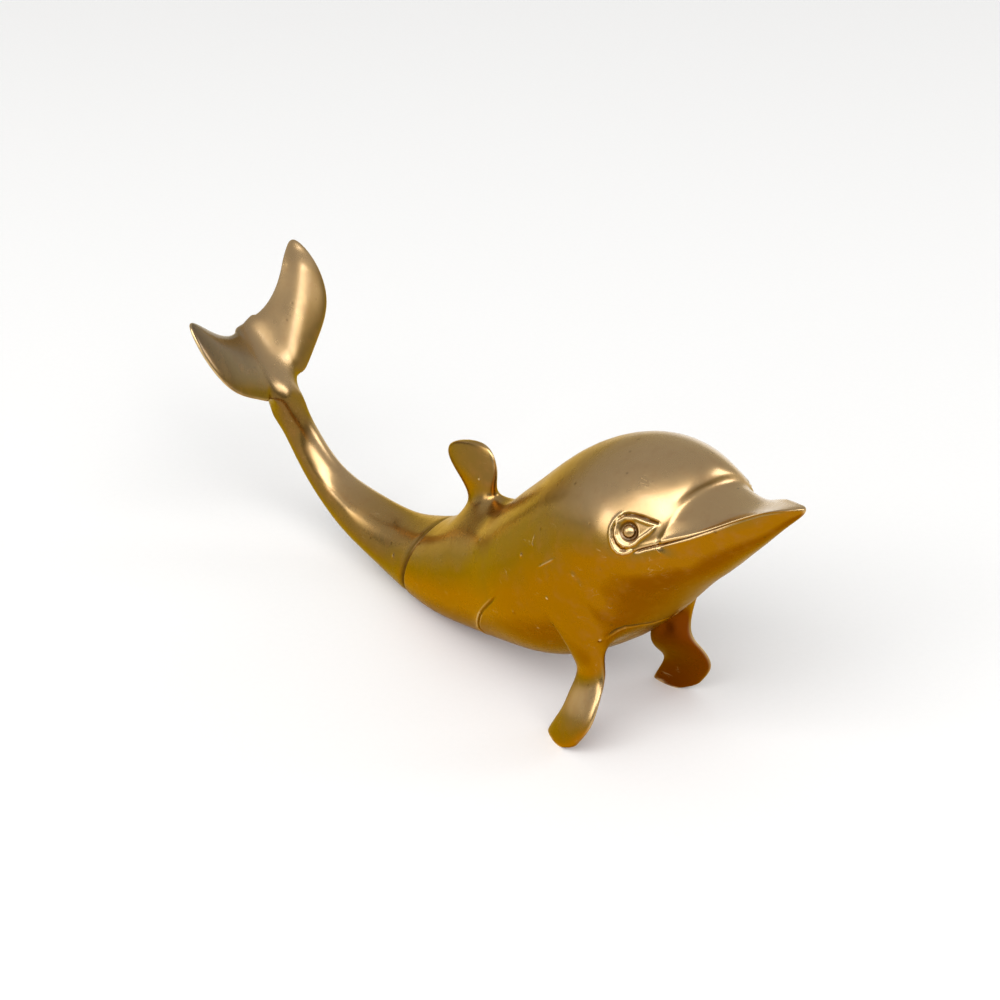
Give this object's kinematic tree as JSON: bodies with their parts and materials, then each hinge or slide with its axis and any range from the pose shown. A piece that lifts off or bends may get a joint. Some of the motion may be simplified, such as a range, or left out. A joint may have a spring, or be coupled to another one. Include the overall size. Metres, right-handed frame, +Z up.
{
  "type": "dolphin figurine",
  "caption": "Cast brass dolphin figurine with a raised, curled tail, resting on its belly and on the tips of its flippers.",
  "frame": {"origin": "on the floor, in the flat spot under the belly", "axes": "+X towards the beak, +Y to the figure's left, +Z up"},
  "size_m": [0.1455, 0.0463, 0.0586],
  "materials": {
    "brass": "satin, aged"
  },
  "bodies": {
    "root": {"dolphin": "brass"}
  },
  "joints": []
}
